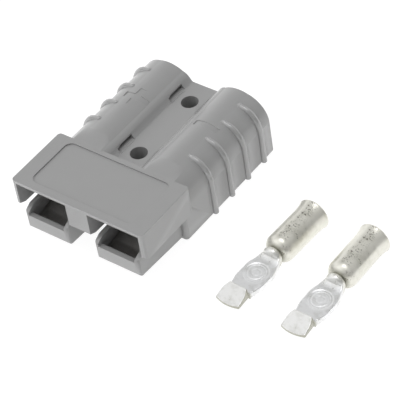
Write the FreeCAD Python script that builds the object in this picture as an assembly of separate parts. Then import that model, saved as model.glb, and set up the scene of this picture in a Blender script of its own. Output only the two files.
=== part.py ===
"""Genderless two-pole power connector: moulded housing, two leaf springs and two crimp contacts.

Frame: X across the connector, +Y from the mating face to the wire end, +Z up, millimetres.
The origin is on the flat underside, midway between the two mounting holes.
The mating half is this same part turned half a turn about the X direction at height MATING_PLANE.
"""
import FreeCAD, Part
import math
import os

from FreeCAD import Vector

# Overall sizes of the housing
TOTAL_LENGTH = 47.9
HOOD_WIDTH = 36.5
HOOD_TOP = 14.95
BARREL_TOP = 15.95
MATING_PLANE = HOOD_TOP / 2

# Mounting holes in the web
HOLE_SPACING = 19.2
HOLE_DIAMETER = 4.1
REAR_HOLE_TO_END = 6.0
WASHER_POCKET_LENGTH = 5.8
WASHER_POCKET_REACH = 4.05
WASHER_GROOVE_WIDTH = 0.75
WASHER_GROOVE_DEPTH = 2.5

# Hood: the upper shell that covers the trays of the mating half
HOOD_DEPTH = 17.25
HOOD_CAVITY_DEPTH = 14.5
HOOD_WALL_FRONT = 1.2
HOOD_WALL_BACK = 1.55
HOOD_PLATE_FRONT = 0.8
HOOD_PLATE_BACK = 1.35
POST_WIDTH_FRONT = 6.0
POST_WIDTH_BACK = 6.6
HOOD_EDGE_ROUND = 0.85
HOOD_REAR_CORNER_ROUND = 1.8
MATING_GAP = 0.05
WALL_CHAMFER_DEPTH = 1.6
WALL_CHAMFER_HEIGHT = 0.7

# Recessed panel in the hood's top
PANEL_SIDE_MARGIN = 3.8
PANEL_FRONT_MARGIN = 2.0
PANEL_BACK_MARGIN = 1.25
PANEL_DEPTH = 0.3
PANEL_CORNER_ROUND = 1.8

# Trays: the lower shells that carry the springs and the contact tongues
TRAY_POST_CLEARANCE = 0.52
TRAY_SIDE_CLEARANCE = 0.74
TRAY_BOTTOM = 1.7
TRAY_REACH = 0.3
TRAY_DRAFT = 0.39
TRAY_WALL = 1.05
TRAY_FLOOR = 2.85
TRAY_EDGE_ROUND = 0.8
TRAY_NOSE_LENGTH = 2.1
TRAY_NOSE_HEIGHT = 1.15
LIP_TOP = 5.6
LIP_DEPTH = 1.22

# Barrels: the ribbed rear half with the wire bores
BARREL_INSET = 0.7
BARREL_RADIUS = 7.55
BARREL_FLANK_RADIUS = 7.8
BARREL_BOTTOM_ROUND = 1.0
BARREL_ROOT = 1.0
SHOULDER_REACH = 5.25
SHOULDER_TILT = 10.0
WEB_TOP = 12.65
WEB_FILLET = 0.7
BLOCK_EDGE_ROUND = 1.0

# Grip ribs on the outer sides of the barrels
RIB_COUNT = 4
RIB_PITCH = 6.4
RIB_WIDTH = 2.0
RIB_STAND = 0.5
RIB_CREST_WIDTH = 0.5
RIB_CREST_STEP = 0.3
RIB_ROOT = 2.0
RIB_SINK = 0.1
RIB_FOOT = 0.15
RIB_FOOT_ROUND = 1.0
LAST_RIB_TO_END = 4.0

# Wire bores and the passage for the contacts
BORE_DIAMETER = 11.2
BORE_DEPTH = 13.0
BORE_CHAMFER = 0.6
CONTACT_BORE_DIAMETER = 8.4
CHANNEL_TOP = 9.6
CHANNEL_END_DEPTH = 17.6

# Contacts: crimp barrel, neck, tongue and wedge-shaped tip pad
CONTACT_LENGTH = 31.6
CONTACT_BARREL_DIAMETER = 7.0
CONTACT_WALL = 0.9
CONTACT_MOUTH_FLARE = 0.4
CONTACT_MOUTH_LENGTH = 3.6
CONTACT_BARREL_LENGTH = 14.5
CONTACT_NOSE_ROUND = 2.3
CONTACT_ROUND_STEPS = 4
CONTACT_BORE_END = 2.6
CONTACT_NECK_DIAMETER = 4.6
CONTACT_NECK_LENGTH = 1.5
CONTACT_NECK_BEVEL = 0.5
CONTACT_THICKNESS = 1.5
CONTACT_TONGUE_WIDTH = 7.1
CONTACT_TONGUE_START_WIDTH = 6.2
CONTACT_TONGUE_END_WIDTH = 4.6
CONTACT_TONGUE_TOP = 3.95
CONTACT_TONGUE_START = 6.2
CONTACT_RAMP_LENGTH = 1.8
CONTACT_RAMP_RISE = 0.8
CONTACT_ROOT_WIDTH = 5.5
CONTACT_ROOT_PLACE = 5.0
CONTACT_PAD_LENGTH = 4.5
CONTACT_PAD_WIDTH = 6.14
CONTACT_PAD_RIDGE_WIDTH = 4.8
CONTACT_PAD_RIDGE_RISE = 1.55
CONTACT_PAD_TIP_DROP = 0.15
CONTACT_PAD_SIDE_LEAN = 0.36
CONTACT_PAD_UNDER_RISE = 0.85
CONTACT_PAD_BEND_LENGTH = 0.8
CONTACT_TIP_CORNER = 0.55
CONTACT_STEP_LENGTH = 0.3
CONTACT_STEP_ROUND = 0.25

# Where the two loose contacts lie beside the housing
CONTACT_SIDE_GAP = 19.75
CONTACT_PITCH = 16.7
CONTACT_TIP_SETBACK = 1.1
CONTACT_LEFT_TURN = 2.5
CONTACT_RIGHT_TURN = 0.5
CONTACT_RIGHT_SHIFT = 0.2

# Springs: one leaf on the floor of each tray
SPRING_THICKNESS = 0.4
SPRING_SIDE_GAP = 0.2
SPRING_LIP_GAP = 0.25
SPRING_END_GAP = 0.3
SPRING_FOOT_HEIGHT = 0.9
SPRING_FLAT = 3.2
SPRING_CROWN = 3.0
SPRING_ARCH = 0.9
SPRING_BEND = 3.0

# Stations along Y and X worked out from the sizes above
REAR_Y = HOLE_SPACING / 2 + REAR_HOLE_TO_END
TRAY_FRONT_Y = REAR_Y - TOTAL_LENGTH
HOOD_FRONT_Y = TRAY_FRONT_Y + TRAY_REACH
HOOD_BACK_Y = HOOD_FRONT_Y + HOOD_DEPTH
BLOCK_FRONT_Y = HOOD_FRONT_Y + HOOD_CAVITY_DEPTH
CHANNEL_END_Y = HOOD_FRONT_Y + CHANNEL_END_DEPTH
LIP_BACK_Y = TRAY_FRONT_Y + LIP_DEPTH
TRAY_INNER_SIDE = POST_WIDTH_BACK / 2 + TRAY_POST_CLEARANCE
TRAY_OUTER_SIDE = HOOD_WIDTH / 2 - HOOD_WALL_BACK - TRAY_SIDE_CLEARANCE
TRAY_WIDTH = TRAY_OUTER_SIDE - TRAY_INNER_SIDE
TRAY_CENTRE_X = (TRAY_OUTER_SIDE + TRAY_INNER_SIDE) / 2
BARREL_SIDE_X = HOOD_WIDTH / 2 - BARREL_INSET
BARREL_CENTRE_X = BARREL_SIDE_X - BARREL_RADIUS
SHOULDER_X = BARREL_SIDE_X - SHOULDER_REACH
WALL_BOTTOM = MATING_PLANE + MATING_GAP / 2
TRAY_WALL_TOP = MATING_PLANE - MATING_GAP / 2


def box(x0, x1, y0, y1, z0, z1):
    """A box between two corners."""
    return Part.makeBox(x1 - x0, y1 - y0, z1 - z0, Vector(x0, y0, z0))


def mirrored(shape):
    """The same shape on the other side of the middle plane."""
    return shape.mirror(Vector(0, 0, 0), Vector(1, 0, 0))


def both_sides(shape):
    """A list with the shape and its mirror image."""
    return [shape, mirrored(shape)]


def tapered_box(front_y, front, back_y, back):
    """A solid between two upright rectangles, each given as (x0, x1, z0, z1)."""
    def corners(y, rectangle):
        x0, x1, z0, z1 = rectangle
        return [Vector(x0, y, z0), Vector(x1, y, z0), Vector(x1, y, z1), Vector(x0, y, z1)]

    near = corners(front_y, front)
    far = corners(back_y, back)
    loops = [near, far]
    for i in range(4):
        j = (i + 1) % 4
        loops.append([near[i], near[j], far[j], far[i]])
    faces = [Part.Face(Part.makePolygon(loop + [loop[0]])) for loop in loops]
    solid = Part.Solid(Part.makeShell(faces))
    if solid.Volume < 0:
        solid.reverse()
    return solid


def edges_where(shape, test):
    """The edges whose middle point and direction pass a test."""
    chosen = []
    for edge in shape.Edges:
        middle = edge.valueAt((edge.FirstParameter + edge.LastParameter) / 2)
        direction = edge.tangentAt((edge.FirstParameter + edge.LastParameter) / 2)
        if test(middle, direction):
            chosen.append(edge)
    return chosen


def along(direction, axis):
    """True when a direction is parallel to an axis, 'x', 'y' or 'z'."""
    return abs(getattr(direction, axis)) > 0.99


def extruded_y(wire, y0, y1):
    """A closed wire drawn in an upright plane at y0, pushed to y1."""
    return Part.Face(wire).extrude(Vector(0, y1 - y0, 0))


def extruded_x(points, x0, x1):
    """A closed outline of (y, z) points, pushed from x0 to x1."""
    vectors = [Vector(x0, y, z) for y, z in points]
    return Part.Face(Part.makePolygon(vectors + [vectors[0]])).extrude(Vector(x1 - x0, 0, 0))


def arc(centre, radius, start, end, y):
    """An arc in an upright plane, between two angles in degrees from +X towards +Z."""
    def at(angle):
        turn = math.radians(angle)
        return Vector(centre[0] + radius * math.cos(turn), y, centre[1] + radius * math.sin(turn))

    return Part.Arc(at(start), at((start + end) / 2), at(end)).toShape()


def shoulder_arc():
    """Radius and centre height of the arc from the crease on a barrel's top to its flat side."""
    tilt = math.radians(SHOULDER_TILT)
    radius = SHOULDER_REACH / (1 - math.sin(tilt))
    rise = BARREL_RADIUS - math.sqrt(BARREL_RADIUS ** 2 - (SHOULDER_X - BARREL_CENTRE_X) ** 2)
    crease_z = BARREL_TOP - rise
    return radius, crease_z - radius * math.cos(tilt), crease_z


def barrel_outline(y):
    """Outline of one barrel: round top, fuller outer shoulder, flat side, rounded lower corner."""
    side_x, centre_x = BARREL_SIDE_X, BARREL_CENTRE_X
    top_z = BARREL_TOP - BARREL_RADIUS
    flank_z = BARREL_TOP - BARREL_FLANK_RADIUS
    radius, shoulder_z, crease_z = shoulder_arc()
    crease = math.degrees(math.acos((SHOULDER_X - centre_x) / BARREL_RADIUS))
    r = BARREL_BOTTOM_ROUND
    inner_x = centre_x - BARREL_FLANK_RADIUS
    edges = [
        arc((side_x - r, r), r, -90, 0, y),
        Part.makeLine(Vector(side_x, y, r), Vector(side_x, y, shoulder_z)),
        arc((side_x - radius, shoulder_z), radius, 0, 90 - SHOULDER_TILT, y),
        arc((centre_x, top_z), BARREL_RADIUS, crease, 90, y),
        arc((centre_x, flank_z), BARREL_FLANK_RADIUS, 90, 180, y),
        Part.makeLine(Vector(inner_x, y, flank_z), Vector(inner_x, y, 0)),
        Part.makeLine(Vector(inner_x, y, 0), Vector(side_x - r, y, 0)),
    ]
    return Part.Wire(Part.__sortEdges__(edges))


def rib_section(outer, centre_y, z):
    """Face across a rib: a bar whose crest is bevelled in two steps, reaching in to its root."""
    half = RIB_WIDTH / 2
    crest = RIB_CREST_WIDTH / 2
    step = RIB_CREST_STEP
    middle = (half + crest) / 2 + step / 4
    side = [(outer - RIB_ROOT, half), (outer - 2 * step, half), (outer - step, middle + step / 4), (outer, crest)]
    outline = side + [(x, -y) for x, y in reversed(side)]
    points = [Vector(x, centre_y + y, z) for x, y in outline]
    return Part.Face(Part.makePolygon(points + [points[0]]))


def make_rib(centre_y):
    """One grip rib: an upright bar that bends over the barrel's shoulder and runs out at the crease."""
    side_x = BARREL_SIDE_X + RIB_STAND
    bend = side_x - SHOULDER_X
    bend_z = shoulder_arc()[2] - RIB_SINK - bend
    face = rib_section(side_x, centre_y, bend_z)
    upright = face.extrude(Vector(0, 0, RIB_FOOT - bend_z))
    shoulder = face.revolve(Vector(SHOULDER_X, centre_y, bend_z), Vector(0, -1, 0), 90)
    rib = upright.fuse(shoulder)
    r = RIB_FOOT_ROUND
    foot = box(side_x - r, side_x + 1, centre_y - RIB_WIDTH, centre_y + RIB_WIDTH, RIB_FOOT - 1, RIB_FOOT + r)
    rod = Part.makeCylinder(r, 4 * RIB_WIDTH, Vector(side_x - r, centre_y - 2 * RIB_WIDTH, RIB_FOOT + r), Vector(0, 1, 0))
    return rib.cut(foot.cut(rod))


def make_barrels():
    """Both barrels and the web between them, with filleted feet, a rounded rear rim and the ribs."""
    front_y = HOOD_BACK_Y - BARREL_ROOT
    barrel = extruded_y(barrel_outline(front_y), front_y, REAR_Y)
    web = box(-BARREL_CENTRE_X, BARREL_CENTRE_X, front_y, REAR_Y, 0, WEB_TOP)
    body = barrel.fuse([mirrored(barrel), web]).removeSplitter()

    def web_feet(middle, direction):
        between = abs(middle.x) < BARREL_CENTRE_X
        return along(direction, "y") and between and abs(middle.z - WEB_TOP) < 0.01

    body = body.makeFillet(WEB_FILLET, edges_where(body, web_feet))
    ribs = []
    for index in range(RIB_COUNT):
        ribs.extend(both_sides(make_rib(REAR_Y - LAST_RIB_TO_END - index * RIB_PITCH)))
    return body.fuse(ribs)


def make_block():
    """The solid block under the hood's rear edge, where the trays and barrels meet."""
    block = box(-BARREL_SIDE_X, BARREL_SIDE_X, BLOCK_FRONT_Y, HOOD_BACK_Y, 0, HOOD_TOP - 0.5)

    def front_upright(middle, direction):
        return along(direction, "z") and abs(middle.y - BLOCK_FRONT_Y) < 0.01

    block = block.makeFillet(BLOCK_EDGE_ROUND, edges_where(block, front_upright))

    def lower_side(middle, direction):
        return along(direction, "y") and abs(middle.z) < 0.01 and abs(abs(middle.x) - BARREL_SIDE_X) < 0.01

    return block.makeFillet(BARREL_BOTTOM_ROUND, edges_where(block, lower_side))


def make_hood():
    """The upper shell: plate, side walls and centre post, before the cavities are cut."""
    half = HOOD_WIDTH / 2
    hood = box(-half, half, HOOD_FRONT_Y, HOOD_BACK_Y, WALL_BOTTOM, HOOD_TOP)

    def upright(middle, direction):
        return along(direction, "z")

    hood = hood.makeFillet(HOOD_EDGE_ROUND, edges_where(hood, upright))
    back_z = WALL_BOTTOM
    for side in (-1, 1):
        corner = Vector(side * half, HOOD_BACK_Y, back_z)
        r = HOOD_REAR_CORNER_ROUND
        cutter = box(min(0, side * 3) + side * (half - 1.5), max(0, side * 3) + side * (half - 1.5),
                     HOOD_BACK_Y - r, HOOD_BACK_Y + 1, back_z - 1, back_z + r)
        rod = Part.makeCylinder(r, 6, Vector(side * half - 3, HOOD_BACK_Y - r, back_z + r), Vector(1, 0, 0))
        hood = hood.cut(cutter.cut(rod))
    return hood


def hood_cavity():
    """One of the two spaces under the hood, widening towards its mouth."""
    half = HOOD_WIDTH / 2
    reach = 0.5
    front = (POST_WIDTH_FRONT / 2, half - HOOD_WALL_FRONT, WALL_BOTTOM - 1, HOOD_TOP - HOOD_PLATE_FRONT)
    back = (POST_WIDTH_BACK / 2, half - HOOD_WALL_BACK, WALL_BOTTOM - 1, HOOD_TOP - HOOD_PLATE_BACK)
    grow = [(f - b) * reach / HOOD_CAVITY_DEPTH for f, b in zip(front, back)]
    mouth = tuple(f + g for f, g in zip(front, grow))
    return tapered_box(HOOD_FRONT_Y - reach, mouth, BLOCK_FRONT_Y, back)


def make_tray():
    """One tray without its inside: drafted sides, a lip height front and rounded wall noses."""
    x0, x1 = TRAY_INNER_SIDE, TRAY_INNER_SIDE + TRAY_WIDTH
    front = (x0, x1, TRAY_BOTTOM, TRAY_WALL_TOP)
    back = (x0 - TRAY_DRAFT, x1 + TRAY_DRAFT, TRAY_BOTTOM - TRAY_DRAFT, TRAY_WALL_TOP)
    tray = tapered_box(TRAY_FRONT_Y, front, BLOCK_FRONT_Y + 0.5, back)

    def front_edges(middle, direction):
        upright = along(direction, "z") and abs(middle.y - TRAY_FRONT_Y) < 0.01
        lower = abs(middle.y - TRAY_FRONT_Y) < 0.01 and abs(middle.z - TRAY_BOTTOM) < 0.01
        return upright or lower

    tray = tray.makeFillet(TRAY_EDGE_ROUND, edges_where(tray, front_edges))
    low = TRAY_WALL_TOP - TRAY_NOSE_HEIGHT
    back = TRAY_FRONT_Y + TRAY_NOSE_LENGTH
    nose = [(TRAY_FRONT_Y - 1, low), (TRAY_FRONT_Y, low), (back, TRAY_WALL_TOP), (back, TRAY_WALL_TOP + 1),
            (TRAY_FRONT_Y - 1, TRAY_WALL_TOP + 1)]
    return tray.cut(extruded_x(nose, x0 - 1, x1 + 1))


def tray_inside():
    """The channel of one tray, running from the lip back to the contact bore."""
    x0 = TRAY_INNER_SIDE + TRAY_WALL
    x1 = TRAY_INNER_SIDE + TRAY_WIDTH - TRAY_WALL
    channel = box(x0, x1, LIP_BACK_Y, CHANNEL_END_Y, TRAY_FLOOR, CHANNEL_TOP)
    above_lip = box(x0, x1, TRAY_FRONT_Y - 1, LIP_BACK_Y + 0.1, LIP_TOP, TRAY_WALL_TOP + 1)
    return channel.fuse(above_lip)


def contact_passage():
    """The wire bore, its chamfered mouth and the narrower bore that holds the crimp barrel."""
    x = BARREL_CENTRE_X
    r = BORE_DIAMETER / 2
    axis = Vector(0, -1, 0)
    wide = Part.makeCylinder(r, BORE_DEPTH, Vector(x, REAR_Y, MATING_PLANE), axis)
    mouth = Part.makeCone(r + BORE_CHAMFER, r, BORE_CHAMFER, Vector(x, REAR_Y, MATING_PLANE), axis)
    narrow_length = REAR_Y - CHANNEL_END_Y + 0.5
    narrow = Part.makeCylinder(CONTACT_BORE_DIAMETER / 2, narrow_length, Vector(x, REAR_Y, MATING_PLANE), axis)
    return wide.fuse([mouth, narrow])


def wall_front_chamfers():
    """Wedges that cut the lower front corners of the hood's walls and post."""
    y0, z0 = HOOD_FRONT_Y, WALL_BOTTOM
    points = [(y0 - 1, z0 - 1), (y0 + WALL_CHAMFER_DEPTH, z0 - 1), (y0 + WALL_CHAMFER_DEPTH, z0),
              (y0, z0 + WALL_CHAMFER_HEIGHT), (y0 - 1, z0 + WALL_CHAMFER_HEIGHT)]
    half = HOOD_WIDTH / 2 + 1
    return extruded_x(points, -half, half)


def panel_recess():
    """The shallow recess in the hood's top."""
    y0 = HOOD_FRONT_Y + PANEL_FRONT_MARGIN
    y1 = HOOD_BACK_Y - PANEL_BACK_MARGIN
    half = HOOD_WIDTH / 2 - PANEL_SIDE_MARGIN
    recess = box(-half, half, y0, y1, HOOD_TOP - PANEL_DEPTH, HOOD_TOP + 1)

    def upright(middle, direction):
        return along(direction, "z")

    return recess.makeFillet(PANEL_CORNER_ROUND, edges_where(recess, upright))


def mounting_cuts():
    """The two bolt holes and the washer clearance beside each, grooved along the barrels' feet."""
    cuts = []
    for y in (-HOLE_SPACING / 2, HOLE_SPACING / 2):
        cuts.append(Part.makeCylinder(HOLE_DIAMETER / 2, BARREL_TOP + 2, Vector(0, y, -1)))
        half = WASHER_POCKET_LENGTH / 2
        cuts.append(box(-WASHER_POCKET_REACH, WASHER_POCKET_REACH, y - half, y + half, WEB_TOP, BARREL_TOP + 1))
        groove = box(WASHER_POCKET_REACH - WASHER_GROOVE_WIDTH, WASHER_POCKET_REACH, y - half, y + half,
                     WEB_TOP - WASHER_GROOVE_DEPTH, WEB_TOP + 1)
        cuts.extend(both_sides(groove))
    return cuts


def make_housing():
    """The one-piece moulded housing."""
    body = make_barrels().fuse([make_block()])
    body = body.fuse([make_hood()])
    trays = both_sides(make_tray())
    cavity = hood_cavity()
    body = body.cut(both_sides(cavity))
    body = body.cut(wall_front_chamfers().cut(box(-30, 30, BLOCK_FRONT_Y, REAR_Y, -5, 30)))
    body = body.fuse(trays)
    body = body.cut(both_sides(tray_inside()) + both_sides(contact_passage()))
    body = body.cut(mounting_cuts() + [panel_recess()])
    return body.removeSplitter()


def make_spring(side):
    """A leaf spring: bent feet on the tray floor, flat ends and a low arch between them."""
    t = SPRING_THICKNESS
    y0 = LIP_BACK_Y + SPRING_LIP_GAP
    y1 = CHANNEL_END_Y - SPRING_END_GAP
    floor = TRAY_FLOOR
    low = floor + SPRING_FOOT_HEIGHT - t
    high = low + SPRING_ARCH
    middle_y = (y0 + y1) / 2
    flat = SPRING_FLAT
    crown = SPRING_CROWN / 2
    under = [(y0 + t, floor), (y0 + t, low), (y0 + flat, low), (middle_y - crown, high),
             (middle_y + crown, high), (y1 - flat, low), (y1 - t, low), (y1 - t, floor)]
    over = [(y1, floor), (y1, low + t), (y1 - flat, low + t), (middle_y + crown, high + t),
            (middle_y - crown, high + t), (y0 + flat, low + t), (y0, low + t), (y0, floor)]
    width = TRAY_WIDTH - 2 * TRAY_WALL - 2 * SPRING_SIDE_GAP
    leaf = extruded_x(under + over, -width / 2, width / 2)

    def bend(points):
        def test(middle, direction):
            return along(direction, "x") and any(
                abs(middle.y - y) < 0.01 and abs(middle.z - z) < 0.01 for y, z in points)
        return test

    leaf = leaf.makeFillet(t * 1.5, edges_where(leaf, bend([(y0, low + t), (y1, low + t)])))
    leaf = leaf.makeFillet(t * 0.5, edges_where(leaf, bend([(y0 + t, low), (y1 - t, low)])))
    wide = [(y0 + flat, low + t), (y1 - flat, low + t), (y0 + flat, low), (y1 - flat, low),
            (middle_y - crown, high), (middle_y + crown, high),
            (middle_y - crown, high + t), (middle_y + crown, high + t)]
    leaf = leaf.makeFillet(SPRING_BEND, edges_where(leaf, bend(wide)))
    leaf.translate(Vector(side * TRAY_CENTRE_X, 0, 0))
    return leaf


def contact_barrel():
    """The crimp barrel of a contact lying along +Y: closed front rounded in steps, open flared mouth."""
    radius = CONTACT_BARREL_DIAMETER / 2
    mouth_y = CONTACT_LENGTH
    front_y = mouth_y - CONTACT_BARREL_LENGTH
    flare_y = mouth_y - CONTACT_MOUTH_LENGTH
    axis_z = radius + CONTACT_MOUTH_FLARE
    nose = CONTACT_NOSE_ROUND
    steps = CONTACT_ROUND_STEPS

    def at(r, y):
        return Vector(r, y, axis_z)

    def nose_point(i):
        turn = math.pi / 2 * i / steps
        return at(radius - nose + nose * math.sin(turn), front_y + nose - nose * math.cos(turn))

    def flare_point(r, i):
        return at(r + CONTACT_MOUTH_FLARE * (i / steps) ** 2, flare_y + CONTACT_MOUTH_LENGTH * i / steps)

    inner_r = radius - CONTACT_WALL
    bottom_y = front_y + CONTACT_BORE_END
    points = [at(0, front_y)]
    points += [nose_point(i) for i in range(steps + 1)]
    points += [flare_point(radius, i) for i in range(steps + 1)]
    points += [flare_point(inner_r, i) for i in range(steps, -1, -1)]
    points += [at(inner_r, bottom_y), at(0, bottom_y)]
    profile = Part.Face(Part.makePolygon(points + [points[0]]))
    return profile.revolve(Vector(0, 0, axis_z), Vector(0, 1, 0), 360)


def contact_neck():
    """The short round neck between the tongue and the crimp barrel, bevelled at its front."""
    r = CONTACT_NECK_DIAMETER / 2
    axis_z = CONTACT_BARREL_DIAMETER / 2 + CONTACT_MOUTH_FLARE
    back_y = CONTACT_LENGTH - CONTACT_BARREL_LENGTH
    front_y = back_y - CONTACT_NECK_LENGTH
    neck = Part.makeCylinder(r, CONTACT_NECK_LENGTH + CONTACT_BORE_END / 2, Vector(0, front_y, axis_z), Vector(0, 1, 0))

    def front_rim(middle, direction):
        return abs(middle.y - front_y) < 0.01

    return neck.makeChamfer(CONTACT_NECK_BEVEL, edges_where(neck, front_rim))


def contact_plan():
    """Outline of a contact's strap seen from above: rounded tip, tapering pad, leaf-shaped tongue."""
    start_y = CONTACT_TONGUE_START
    end_y = CONTACT_LENGTH - CONTACT_BARREL_LENGTH - CONTACT_NECK_LENGTH
    rear_y = CONTACT_LENGTH - CONTACT_BARREL_LENGTH + CONTACT_BORE_END / 2

    def at(width, y, side):
        return Vector(side * width / 2, y, -1)

    corners = [at(CONTACT_PAD_WIDTH, CONTACT_TIP_CORNER, side) for side in (-1, 1)]
    edges = [Part.Arc(corners[0], at(0, 0, 1), corners[1]).toShape(),
             Part.makeLine(at(CONTACT_TONGUE_END_WIDTH, rear_y, -1), at(CONTACT_TONGUE_END_WIDTH, rear_y, 1))]
    for side, corner in zip((-1, 1), corners):
        root = at(CONTACT_ROOT_WIDTH, CONTACT_ROOT_PLACE, side)
        tongue_start = at(CONTACT_TONGUE_START_WIDTH, start_y, side)
        tongue_middle = at(CONTACT_TONGUE_WIDTH, start_y * 0.62 + end_y * 0.38, side)
        tongue_end = at(CONTACT_TONGUE_END_WIDTH, end_y, side)
        leaf = Part.BSplineCurve()
        leaf.interpolate([tongue_start, tongue_middle, tongue_end])
        edges += [Part.makeLine(corner, root),
                  Part.makeLine(root, tongue_start),
                  leaf.toShape(),
                  Part.makeLine(tongue_end, at(CONTACT_TONGUE_END_WIDTH, rear_y, side))]
    return Part.Face(Part.Wire(Part.__sortEdges__(edges)))


def pad_side_cut():
    """Wedge that leans the pad's side inward, from its front corner to the narrow end of its ridge."""
    lean = CONTACT_PAD_SIDE_LEAN
    ridge_z = CONTACT_TONGUE_TOP + CONTACT_PAD_RIDGE_RISE
    low_z = CONTACT_TONGUE_TOP - CONTACT_THICKNESS + CONTACT_PAD_UNDER_RISE
    slope = (CONTACT_PAD_RIDGE_RISE + CONTACT_PAD_TIP_DROP) / CONTACT_PAD_LENGTH
    run = CONTACT_PAD_LENGTH - CONTACT_TIP_CORNER
    taper = (CONTACT_PAD_WIDTH - CONTACT_PAD_RIDGE_WIDTH) / 2 / run - lean * slope
    start_y = -1

    def at(z):
        side_x = CONTACT_PAD_RIDGE_WIDTH / 2 + taper * (CONTACT_PAD_LENGTH - start_y) + lean * (ridge_z - z)
        return Vector(side_x, start_y, z)

    high = at(ridge_z + 1)
    low = at(low_z)
    outline = [low, Vector(low.x + 5, start_y, low_z), Vector(low.x + 5, start_y, high.z), high, low]
    length = CONTACT_PAD_LENGTH + CONTACT_STEP_LENGTH - start_y
    return Part.Face(Part.makePolygon(outline)).extrude(Vector(-taper * length, length, 0))


def contact_strap():
    """The strap in front of the barrel: ramp, tongue, step and the wedge-shaped pad."""
    top = CONTACT_TONGUE_TOP
    bottom = top - CONTACT_THICKNESS
    ridge = top + CONTACT_PAD_RIDGE_RISE
    pad_y = CONTACT_PAD_LENGTH
    step_y = pad_y + CONTACT_STEP_LENGTH
    under = bottom + CONTACT_PAD_UNDER_RISE
    neck_y = CONTACT_LENGTH - CONTACT_BARREL_LENGTH - CONTACT_NECK_LENGTH
    rear_y = CONTACT_LENGTH - CONTACT_BARREL_LENGTH + CONTACT_BORE_END / 2
    tip_z = top - CONTACT_PAD_TIP_DROP
    outline = [(-1, tip_z - (ridge - tip_z) / pad_y), (pad_y, ridge),
               (step_y, top), (neck_y - CONTACT_RAMP_LENGTH, top), (neck_y, top + CONTACT_RAMP_RISE),
               (rear_y, top + CONTACT_RAMP_RISE), (rear_y, bottom), (step_y, bottom),
               (step_y - CONTACT_PAD_BEND_LENGTH, under), (-1, under)]
    side = extruded_x(outline, -CONTACT_TONGUE_WIDTH, CONTACT_TONGUE_WIDTH)

    def step_edges(middle, direction):
        near_step = pad_y - 0.01 < middle.y < step_y + 0.01
        return along(direction, "x") and near_step and middle.z > top - 0.01

    side = side.makeFillet(CONTACT_STEP_ROUND, edges_where(side, step_edges))
    strap = side.common(contact_plan().extrude(Vector(0, 0, ridge + 2)))
    return strap.cut(both_sides(pad_side_cut()))


def make_contact(x, tip_y, turn):
    """One crimp contact lying on its barrel, its tip towards -Y, turned by a small angle."""
    barrel = contact_barrel()
    contact = barrel.fuse([contact_neck(), contact_strap()]).removeSplitter()
    contact.rotate(Vector(0, 0, 0), Vector(0, 0, 1), -turn)
    contact.translate(Vector(x, tip_y, 0))
    return contact


def export(name, shape):
    """Writes one sub-part."""
    shape.exportStep(f"parts/{name}.step")
    print(name, "valid", shape.isValid(), "solids", len(shape.Solids), "faces", len(shape.Faces),
          "volume", round(shape.Volume, 1))


def main():
    """Builds and writes every sub-part."""
    os.makedirs("parts", exist_ok=True)
    export("housing", make_housing())
    for name, side in (("left", -1), ("right", 1)):
        export(f"contact_spring_{name}", make_spring(side))
    left_x = HOOD_WIDTH / 2 + CONTACT_SIDE_GAP
    left_y = HOOD_FRONT_Y + CONTACT_TIP_SETBACK
    export("contact_left", make_contact(left_x, left_y, CONTACT_LEFT_TURN))
    right_y = left_y + CONTACT_RIGHT_SHIFT
    export("contact_right", make_contact(left_x + CONTACT_PITCH, right_y, CONTACT_RIGHT_TURN))


main()
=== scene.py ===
"""Looks of a genderless power connector: moulded housing, leaf springs and two loose crimp contacts."""
import logging
import math
from dataclasses import dataclass, field
from enum import Enum
from typing import Sequence

import bmesh
import bpy
from mathutils import Matrix, Vector


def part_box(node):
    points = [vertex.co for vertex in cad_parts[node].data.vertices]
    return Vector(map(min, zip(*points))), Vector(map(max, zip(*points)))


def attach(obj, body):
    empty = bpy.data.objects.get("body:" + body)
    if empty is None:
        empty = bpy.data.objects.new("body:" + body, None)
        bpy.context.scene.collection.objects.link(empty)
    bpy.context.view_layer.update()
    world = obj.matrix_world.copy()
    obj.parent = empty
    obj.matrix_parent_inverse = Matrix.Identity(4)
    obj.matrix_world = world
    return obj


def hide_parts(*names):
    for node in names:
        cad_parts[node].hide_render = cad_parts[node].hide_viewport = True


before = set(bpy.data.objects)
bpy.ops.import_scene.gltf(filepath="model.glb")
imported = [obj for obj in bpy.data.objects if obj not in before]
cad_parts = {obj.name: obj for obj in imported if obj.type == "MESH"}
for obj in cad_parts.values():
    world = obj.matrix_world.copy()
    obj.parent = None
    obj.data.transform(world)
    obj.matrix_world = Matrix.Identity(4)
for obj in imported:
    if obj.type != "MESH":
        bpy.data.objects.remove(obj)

LOG = logging.getLogger("connector")
MM = 0.001
BODY = "root"
# Where the tips of the two loose contacts lie, in millimetres, and how far each is turned, in degrees
LEFT_TIP = (38.0, -30.9)
RIGHT_TIP = (54.7, -30.7)
LEFT_TURN = 2.5
RIGHT_TURN = 0.5
# The range that a noise texture hardly leaves
NOISE_SPAN = (0.3, 0.7)
# Meshes: points that are joined, in millimetres, faces taken as one and edges kept sharp, in degrees
JOIN_DISTANCE = 0.002
FLAT_ANGLE = 0.4
SHARP_ANGLE = 40.0
# Natural logarithm of 2: a panel of the surroundings has half its light left at its spread
HALVING = 0.6931

Colour = tuple[float, float, float]
Pair = tuple[float, float]
Triple = tuple[float, float, float]
Socket = bpy.types.NodeSocket
Material = bpy.types.Material
Mesh = bpy.types.Mesh
Piece = bpy.types.Object


class Side(Enum):
    """Side of the connector's middle plane."""

    LEFT = -1
    RIGHT = 1


class Slot(Enum):
    """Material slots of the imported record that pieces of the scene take."""

    HOUSING = "housing_plastic"
    CONTACT = "plated_copper"


class Easing(Enum):
    """How a value passes from one end of a range to the other."""

    SMOOTH = "SMOOTHSTEP"
    EVEN = "LINEAR"


class Joining(Enum):
    """What a tool does to a piece."""

    ADD = "UNION"
    CUT = "DIFFERENCE"


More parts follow.
